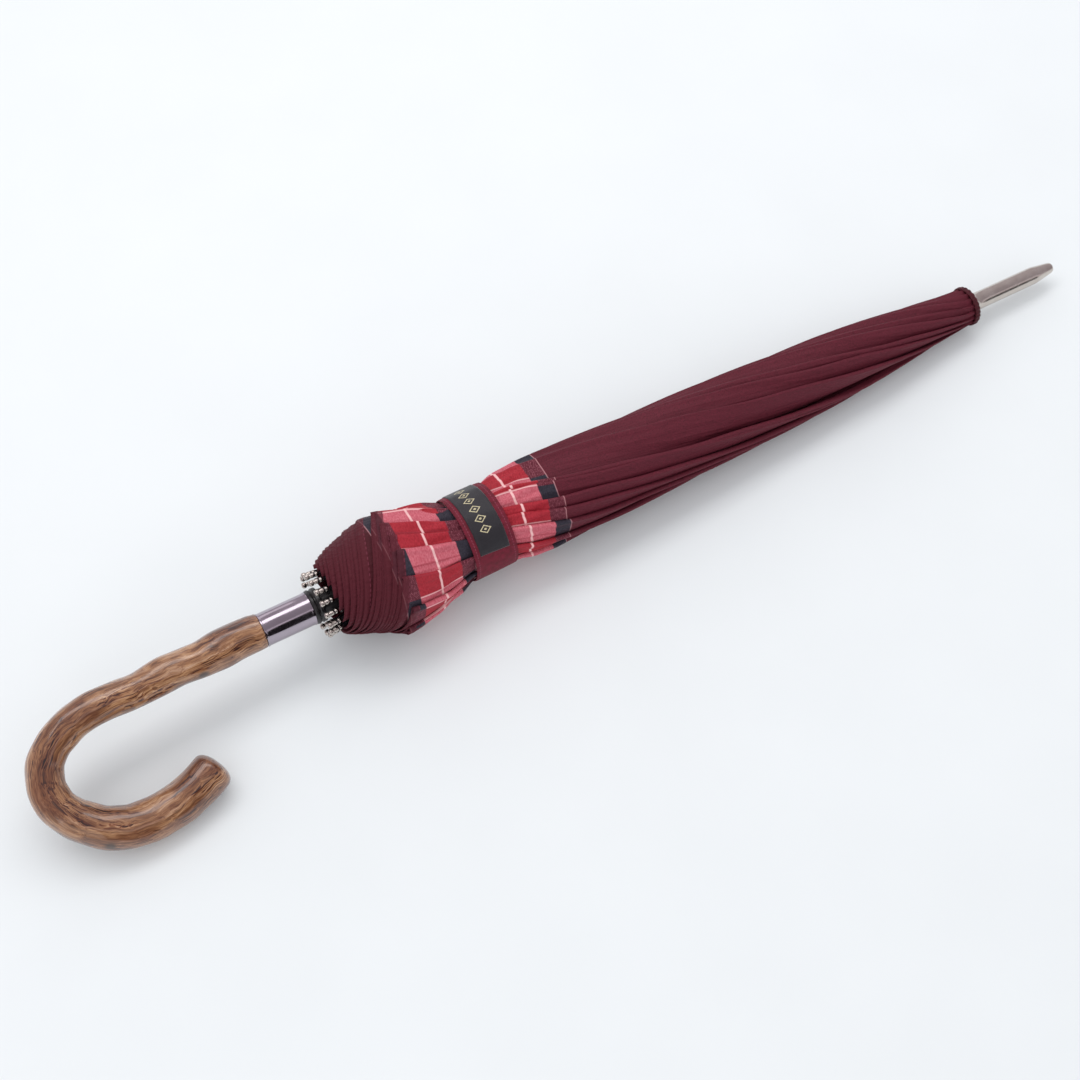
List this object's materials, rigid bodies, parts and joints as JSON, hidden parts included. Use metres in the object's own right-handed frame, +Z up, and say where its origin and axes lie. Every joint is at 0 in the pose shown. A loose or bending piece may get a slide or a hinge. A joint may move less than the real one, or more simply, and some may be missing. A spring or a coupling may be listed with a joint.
{
  "type": "stick umbrella",
  "caption": "Long stick umbrella with a bent wooden crook handle, a furled cloth canopy with a checked border, a strap and a metal ferrule; it slides open.",
  "frame": {"origin": "on the surface the umbrella lies on, under the middle of its bounding box", "axes": "+X runs along the umbrella from the crook to the ferrule, +Z up; the crook opens towards -Y. The shaft leans 2.95 degrees down towards the ferrule, because the umbrella lies on its canopy and on the end of its crook"},
  "size_m": [0.8617, 0.1304, 0.0889],
  "materials": {
    "varnished_wood": "varnished, dark streaked grain",
    "chromed_collar": "polished dark chrome",
    "black_plastic": "moulded, slight gloss",
    "shaft_steel": "black enamel",
    "rib_steel": "black enamel, nickelled tips",
    "catch_steel": "spring steel",
    "nickel_ferrule": "satin nickel",
    "canopy_cloth": "woven pongee, burgundy",
    "woven_label": "woven satin, black with a pale thread"
  },
  "bodies": {
    "stick": {"handle": "varnished_wood", "collar": "chromed_collar", "bumper_ring": "black_plastic", "shaft": "shaft_steel", "crown": "black_plastic", "rosette": "canopy_cloth", "ferrule": "nickel_ferrule"},
    "runner": {"runner": "black_plastic"},
    "bottom_catch": {"bottom_catch": "catch_steel"},
    "top_catch": {"top_catch": "catch_steel"},
    "strap": {"strap": "canopy_cloth", "label": "woven_label"},
    "rib_1": {"rib_1": "rib_steel"},
    "stretcher_1": {"stretcher_1": "rib_steel"},
    "gore_1": {"gore_1": "canopy_cloth"},
    "rib_2": {"rib_2": "rib_steel"},
    "stretcher_2": {"stretcher_2": "rib_steel"},
    "gore_2": {"gore_2": "canopy_cloth"},
    "rib_3": {"rib_3": "rib_steel"},
    "stretcher_3": {"stretcher_3": "rib_steel"},
    "gore_3": {"gore_3": "canopy_cloth"},
    "rib_4": {"rib_4": "rib_steel"},
    "stretcher_4": {"stretcher_4": "rib_steel"},
    "gore_4": {"gore_4": "canopy_cloth"},
    "rib_5": {"rib_5": "rib_steel"},
    "stretcher_5": {"stretcher_5": "rib_steel"},
    "gore_5": {"gore_5": "canopy_cloth"},
    "rib_6": {"rib_6": "rib_steel"},
    "stretcher_6": {"stretcher_6": "rib_steel"},
    "gore_6": {"gore_6": "canopy_cloth"},
    "rib_7": {"rib_7": "rib_steel"},
    "stretcher_7": {"stretcher_7": "rib_steel"},
    "gore_7": {"gore_7": "canopy_cloth"},
    "rib_8": {"rib_8": "rib_steel"},
    "stretcher_8": {"stretcher_8": "rib_steel"},
    "gore_8": {"gore_8": "canopy_cloth"},
    "rib_9": {"rib_9": "rib_steel"},
    "stretcher_9": {"stretcher_9": "rib_steel"},
    "gore_9": {"gore_9": "canopy_cloth"},
    "rib_10": {"rib_10": "rib_steel"},
    "stretcher_10": {"stretcher_10": "rib_steel"},
    "gore_10": {"gore_10": "canopy_cloth"},
    "rib_11": {"rib_11": "rib_steel"},
    "stretcher_11": {"stretcher_11": "rib_steel"},
    "gore_11": {"gore_11": "canopy_cloth"},
    "rib_12": {"rib_12": "rib_steel"},
    "stretcher_12": {"stretcher_12": "rib_steel"},
    "gore_12": {"gore_12": "canopy_cloth"},
    "rib_13": {"rib_13": "rib_steel"},
    "stretcher_13": {"stretcher_13": "rib_steel"},
    "gore_13": {"gore_13": "canopy_cloth"},
    "rib_14": {"rib_14": "rib_steel"},
    "stretcher_14": {"stretcher_14": "rib_steel"},
    "gore_14": {"gore_14": "canopy_cloth"},
    "rib_15": {"rib_15": "rib_steel"},
    "stretcher_15": {"stretcher_15": "rib_steel"},
    "gore_15": {"gore_15": "canopy_cloth"},
    "rib_16": {"rib_16": "rib_steel"},
    "stretcher_16": {"stretcher_16": "rib_steel"},
    "gore_16": {"gore_16": "canopy_cloth"}
  },
  "joints": [
    {"name": "runner_slide", "type": "slide", "parent": "stick", "child": "runner", "axis": [0.9987, 0, -0.0515], "range_m": [0, 0.40178], "deforming": ["strap", "label", "gore_1", "gore_2", "gore_3", "gore_4", "gore_5", "gore_6", "gore_7", "gore_8", "gore_9", "gore_10", "gore_11", "gore_12", "gore_13", "gore_14", "gore_15", "gore_16", "bottom_catch", "top_catch"]},
    {"name": "bottom_catch_press", "type": "slide", "parent": "stick", "child": "bottom_catch", "axis": [-0.0445, 0.5015, -0.864], "range_m": [0, 0.0016], "stiffness_N_per_m": 300},
    {"name": "top_catch_press", "type": "slide", "parent": "stick", "child": "top_catch", "axis": [-0.0445, 0.5015, -0.864], "range_m": [0, 0.0016], "stiffness_N_per_m": 300},
    {"name": "rib_1_hinge", "type": "hinge", "parent": "stick", "child": "rib_1", "pos_m": [0.33927, 0.01574, 0.02786], "axis": [0.0258, 0.8652, 0.5008], "range_deg": [0, 76.01]},
    {"name": "stretcher_1_hinge", "type": "hinge", "parent": "rib_1", "child": "stretcher_1", "pos_m": [0.07462, 0.01574, 0.0415], "axis": [-0.0258, -0.8652, -0.5008], "range_deg": [0, 152.01]},
    {"name": "gore_1_spread", "type": "slide", "parent": "rib_1", "child": "gore_1", "axis": [0.1695, -0.8269, -0.5361], "range_m": [0, 0.20281]},
    {"name": "rib_2_hinge", "type": "hinge", "parent": "stick", "child": "rib_2", "pos_m": [0.33913, 0.01281, 0.02529], "axis": [0.0409, 0.6074, 0.7933], "range_deg": [0, 76.01]},
    {"name": "stretcher_2_hinge", "type": "hinge", "parent": "rib_2", "child": "stretcher_2", "pos_m": [0.07448, 0.01281, 0.03893], "axis": [-0.0409, -0.6074, -0.7933], "range_deg": [0, 152.01]},
    {"name": "gore_2_spread", "type": "slide", "parent": "rib_2", "child": "gore_2", "axis": [0.1553, -0.5624, -0.8121], "range_m": [0, 0.20281]},
    {"name": "rib_3_hinge", "type": "hinge", "parent": "stick", "child": "rib_3", "pos_m": [0.33895, 0.01109, 0.02179], "axis": [0.0497, 0.2572, 0.9651], "range_deg": [0, 76.01]},
    {"name": "stretcher_3_hinge", "type": "hinge", "parent": "rib_3", "child": "stretcher_3", "pos_m": [0.0743, 0.01109, 0.03543], "axis": [-0.0497, -0.2572, -0.9651], "range_deg": [0, 152.01]},
    {"name": "gore_3_spread", "type": "slide", "parent": "rib_3", "child": "gore_3", "axis": [0.1474, -0.2123, -0.966], "range_m": [0, 0.20281]},
    {"name": "rib_4_hinge", "type": "hinge", "parent": "stick", "child": "rib_4", "pos_m": [0.33875, 0.01084, 0.0179], "axis": [0.051, -0.1322, 0.9899], "range_deg": [0, 76.01]},
    {"name": "stretcher_4_hinge", "type": "hinge", "parent": "rib_4", "child": "stretcher_4", "pos_m": [0.0741, 0.01084, 0.03154], "axis": [-0.051, 0.1322, -0.9899], "range_deg": [0, 152.01]},
    {"name": "gore_4_spread", "type": "slide", "parent": "rib_4", "child": "gore_4", "axis": [0.1469, 0.1701, -0.9744], "range_m": [0, 0.20281]},
    {"name": "rib_5_hinge", "type": "hinge", "parent": "stick", "child": "rib_5", "pos_m": [0.33856, 0.0121, 0.01422], "axis": [0.0445, -0.5015, 0.864], "range_deg": [0, 76.01]},
    {"name": "stretcher_5_hinge", "type": "hinge", "parent": "rib_5", "child": "stretcher_5", "pos_m": [0.07391, 0.0121, 0.02785], "axis": [-0.0445, 0.5015, -0.864], "range_deg": [0, 152.01]},
    {"name": "gore_5_spread", "type": "slide", "parent": "rib_5", "child": "gore_5", "axis": [0.1541, 0.5267, -0.836], "range_m": [0, 0.20281]},
    {"name": "rib_6_hinge", "type": "hinge", "parent": "stick", "child": "rib_6", "pos_m": [0.33841, 0.01468, 0.01129], "axis": [0.0313, -0.7944, 0.6066], "range_deg": [0, 76.01]},
    {"name": "stretcher_6_hinge", "type": "hinge", "parent": "rib_6", "child": "stretcher_6", "pos_m": [0.07376, 0.01468, 0.02493], "axis": [-0.0313, 0.7944, -0.6066], "range_deg": [0, 152.01]},
    {"name": "gore_6_spread", "type": "slide", "parent": "rib_6", "child": "gore_6", "axis": [0.1677, 0.8031, -0.5718], "range_m": [0, 0.20281]},
    {"name": "rib_7_hinge", "type": "hinge", "parent": "stick", "child": "rib_7", "pos_m": [0.33832, 0.01818, 0.00957], "axis": [0.0132, -0.9664, 0.2569], "range_deg": [0, 76.01]},
    {"name": "stretcher_7_hinge", "type": "hinge", "parent": "rib_7", "child": "stretcher_7", "pos_m": [0.07367, 0.01818, 0.02321], "axis": [-0.0132, 0.9664, -0.2569], "range_deg": [0, 152.01]},
    {"name": "gore_7_spread", "type": "slide", "parent": "rib_7", "child": "gore_7", "axis": [0.1857, 0.9572, -0.2222], "range_m": [0, 0.20281]},
    {"name": "rib_8_hinge", "type": "hinge", "parent": "stick", "child": "rib_8", "pos_m": [0.33831, 0.02208, 0.00932], "axis": [-0.0068, -0.9912, -0.132], "range_deg": [0, 76.01]},
    {"name": "stretcher_8_hinge", "type": "hinge", "parent": "rib_8", "child": "stretcher_8", "pos_m": [0.07366, 0.02208, 0.02296], "axis": [0.0068, 0.9912, 0.132], "range_deg": [0, 152.01]},
    {"name": "gore_8_spread", "type": "slide", "parent": "rib_8", "child": "gore_8", "axis": [0.2054, 0.9655, 0.1598], "range_m": [0, 0.20281]},
    {"name": "rib_9_hinge", "type": "hinge", "parent": "stick", "child": "rib_9", "pos_m": [0.33838, 0.02577, 0.01058], "axis": [-0.0258, -0.8652, -0.5008], "range_deg": [0, 76.01]},
    {"name": "stretcher_9_hinge", "type": "hinge", "parent": "rib_9", "child": "stretcher_9", "pos_m": [0.07373, 0.02577, 0.02422], "axis": [0.0258, 0.8652, 0.5008], "range_deg": [0, 152.01]},
    {"name": "gore_9_spread", "type": "slide", "parent": "rib_9", "child": "gore_9", "axis": [0.2237, 0.8269, 0.5159], "range_m": [0, 0.20281]},
    {"name": "rib_10_hinge", "type": "hinge", "parent": "stick", "child": "rib_10", "pos_m": [0.33851, 0.0287, 0.01316], "axis": [-0.0409, -0.6074, -0.7933], "range_deg": [0, 76.01]},
    {"name": "stretcher_10_hinge", "type": "hinge", "parent": "rib_10", "child": "stretcher_10", "pos_m": [0.07386, 0.0287, 0.0268], "axis": [0.0409, 0.6074, 0.7933], "range_deg": [0, 152.01]},
    {"name": "gore_10_spread", "type": "slide", "parent": "rib_10", "child": "gore_10", "axis": [0.238, 0.5624, 0.7919], "range_m": [0, 0.20281]},
    {"name": "rib_11_hinge", "type": "hinge", "parent": "stick", "child": "rib_11", "pos_m": [0.33869, 0.03042, 0.01665], "axis": [-0.0497, -0.2572, -0.9651], "range_deg": [0, 76.01]},
    {"name": "stretcher_11_hinge", "type": "hinge", "parent": "rib_11", "child": "stretcher_11", "pos_m": [0.07404, 0.03042, 0.03029], "axis": [0.0497, 0.2572, 0.9651], "range_deg": [0, 152.01]},
    {"name": "gore_11_spread", "type": "slide", "parent": "rib_11", "child": "gore_11", "axis": [0.2459, 0.2123, 0.9458], "range_m": [0, 0.20281]},
    {"name": "rib_12_hinge", "type": "hinge", "parent": "stick", "child": "rib_12", "pos_m": [0.33889, 0.03067, 0.02054], "axis": [-0.051, 0.1322, -0.9899], "range_deg": [0, 76.01]},
    {"name": "stretcher_12_hinge", "type": "hinge", "parent": "rib_12", "child": "stretcher_12", "pos_m": [0.07424, 0.03067, 0.03418], "axis": [0.051, -0.1322, 0.9899], "range_deg": [0, 152.01]},
    {"name": "gore_12_spread", "type": "slide", "parent": "rib_12", "child": "gore_12", "axis": [0.2463, -0.1701, 0.9541], "range_m": [0, 0.20281]},
    {"name": "rib_13_hinge", "type": "hinge", "parent": "stick", "child": "rib_13", "pos_m": [0.33908, 0.02941, 0.02423], "axis": [-0.0445, 0.5015, -0.864], "range_deg": [0, 76.01]},
    {"name": "stretcher_13_hinge", "type": "hinge", "parent": "rib_13", "child": "stretcher_13", "pos_m": [0.07443, 0.02941, 0.03787], "axis": [0.0445, -0.5015, 0.864], "range_deg": [0, 152.01]},
    {"name": "gore_13_spread", "type": "slide", "parent": "rib_13", "child": "gore_13", "axis": [0.2392, -0.5267, 0.8157], "range_m": [0, 0.20281]},
    {"name": "rib_14_hinge", "type": "hinge", "parent": "stick", "child": "rib_14", "pos_m": [0.33923, 0.02683, 0.02716], "axis": [-0.0313, 0.7944, -0.6066], "range_deg": [0, 76.01]},
    {"name": "stretcher_14_hinge", "type": "hinge", "parent": "rib_14", "child": "stretcher_14", "pos_m": [0.07458, 0.02683, 0.04079], "axis": [0.0313, -0.7944, 0.6066], "range_deg": [0, 152.01]},
    {"name": "gore_14_spread", "type": "slide", "parent": "rib_14", "child": "gore_14", "axis": [0.2256, -0.8031, 0.5516], "range_m": [0, 0.20281]},
    {"name": "rib_15_hinge", "type": "hinge", "parent": "stick", "child": "rib_15", "pos_m": [0.33932, 0.02333, 0.02887], "axis": [-0.0132, 0.9664, -0.2569], "range_deg": [0, 76.01]},
    {"name": "stretcher_15_hinge", "type": "hinge", "parent": "rib_15", "child": "stretcher_15", "pos_m": [0.07467, 0.02333, 0.04251], "axis": [0.0132, -0.9664, 0.2569], "range_deg": [0, 152.01]},
    {"name": "gore_15_spread", "type": "slide", "parent": "rib_15", "child": "gore_15", "axis": [0.2076, -0.9572, 0.2019], "range_m": [0, 0.20281]},
    {"name": "rib_16_hinge", "type": "hinge", "parent": "stick", "child": "rib_16", "pos_m": [0.33933, 0.01943, 0.02912], "axis": [0.0068, 0.9912, 0.132], "range_deg": [0, 76.01]},
    {"name": "stretcher_16_hinge", "type": "hinge", "parent": "rib_16", "child": "stretcher_16", "pos_m": [0.07468, 0.01943, 0.04276], "axis": [-0.0068, -0.9912, -0.132], "range_deg": [0, 152.01]},
    {"name": "gore_16_spread", "type": "slide", "parent": "rib_16", "child": "gore_16", "axis": [0.1879, -0.9655, -0.1801], "range_m": [0, 0.20281]},
    {"name": "strap_lift", "type": "slide", "parent": "rib_1", "child": "strap", "axis": [0.0445, -0.5015, 0.864], "range_m": [0, 0.05801]}
  ],
  "couplings": [
    {"joint": "rib_1_hinge", "follows": "runner_slide", "rad_per_m": 3.3014},
    {"joint": "stretcher_1_hinge", "follows": "runner_slide", "rad_per_m": 6.6028},
    {"joint": "gore_1_spread", "follows": "runner_slide", "ratio": 0.50476},
    {"joint": "rib_2_hinge", "follows": "runner_slide", "rad_per_m": 3.3014},
    {"joint": "stretcher_2_hinge", "follows": "runner_slide", "rad_per_m": 6.6028},
    {"joint": "gore_2_spread", "follows": "runner_slide", "ratio": 0.50476},
    {"joint": "rib_3_hinge", "follows": "runner_slide", "rad_per_m": 3.3014},
    {"joint": "stretcher_3_hinge", "follows": "runner_slide", "rad_per_m": 6.6028},
    {"joint": "gore_3_spread", "follows": "runner_slide", "ratio": 0.50476},
    {"joint": "rib_4_hinge", "follows": "runner_slide", "rad_per_m": 3.3014},
    {"joint": "stretcher_4_hinge", "follows": "runner_slide", "rad_per_m": 6.6028},
    {"joint": "gore_4_spread", "follows": "runner_slide", "ratio": 0.50476},
    {"joint": "rib_5_hinge", "follows": "runner_slide", "rad_per_m": 3.3014},
    {"joint": "stretcher_5_hinge", "follows": "runner_slide", "rad_per_m": 6.6028},
    {"joint": "gore_5_spread", "follows": "runner_slide", "ratio": 0.50476},
    {"joint": "rib_6_hinge", "follows": "runner_slide", "rad_per_m": 3.3014},
    {"joint": "stretcher_6_hinge", "follows": "runner_slide", "rad_per_m": 6.6028},
    {"joint": "gore_6_spread", "follows": "runner_slide", "ratio": 0.50476},
    {"joint": "rib_7_hinge", "follows": "runner_slide", "rad_per_m": 3.3014},
    {"joint": "stretcher_7_hinge", "follows": "runner_slide", "rad_per_m": 6.6028},
    {"joint": "gore_7_spread", "follows": "runner_slide", "ratio": 0.50476},
    {"joint": "rib_8_hinge", "follows": "runner_slide", "rad_per_m": 3.3014},
    {"joint": "stretcher_8_hinge", "follows": "runner_slide", "rad_per_m": 6.6028},
    {"joint": "gore_8_spread", "follows": "runner_slide", "ratio": 0.50476},
    {"joint": "rib_9_hinge", "follows": "runner_slide", "rad_per_m": 3.3014},
    {"joint": "stretcher_9_hinge", "follows": "runner_slide", "rad_per_m": 6.6028},
    {"joint": "gore_9_spread", "follows": "runner_slide", "ratio": 0.50476},
    {"joint": "rib_10_hinge", "follows": "runner_slide", "rad_per_m": 3.3014},
    {"joint": "stretcher_10_hinge", "follows": "runner_slide", "rad_per_m": 6.6028},
    {"joint": "gore_10_spread", "follows": "runner_slide", "ratio": 0.50476},
    {"joint": "rib_11_hinge", "follows": "runner_slide", "rad_per_m": 3.3014},
    {"joint": "stretcher_11_hinge", "follows": "runner_slide", "rad_per_m": 6.6028},
    {"joint": "gore_11_spread", "follows": "runner_slide", "ratio": 0.50476},
    {"joint": "rib_12_hinge", "follows": "runner_slide", "rad_per_m": 3.3014},
    {"joint": "stretcher_12_hinge", "follows": "runner_slide", "rad_per_m": 6.6028},
    {"joint": "gore_12_spread", "follows": "runner_slide", "ratio": 0.50476},
    {"joint": "rib_13_hinge", "follows": "runner_slide", "rad_per_m": 3.3014},
    {"joint": "stretcher_13_hinge", "follows": "runner_slide", "rad_per_m": 6.6028},
    {"joint": "gore_13_spread", "follows": "runner_slide", "ratio": 0.50476},
    {"joint": "rib_14_hinge", "follows": "runner_slide", "rad_per_m": 3.3014},
    {"joint": "stretcher_14_hinge", "follows": "runner_slide", "rad_per_m": 6.6028},
    {"joint": "gore_14_spread", "follows": "runner_slide", "ratio": 0.50476},
    {"joint": "rib_15_hinge", "follows": "runner_slide", "rad_per_m": 3.3014},
    {"joint": "stretcher_15_hinge", "follows": "runner_slide", "rad_per_m": 6.6028},
    {"joint": "gore_15_spread", "follows": "runner_slide", "ratio": 0.50476},
    {"joint": "rib_16_hinge", "follows": "runner_slide", "rad_per_m": 3.3014},
    {"joint": "stretcher_16_hinge", "follows": "runner_slide", "rad_per_m": 6.6028},
    {"joint": "gore_16_spread", "follows": "runner_slide", "ratio": 0.50476},
    {"joint": "strap_lift", "follows": "runner_slide", "ratio": 0.14436}
  ]
}
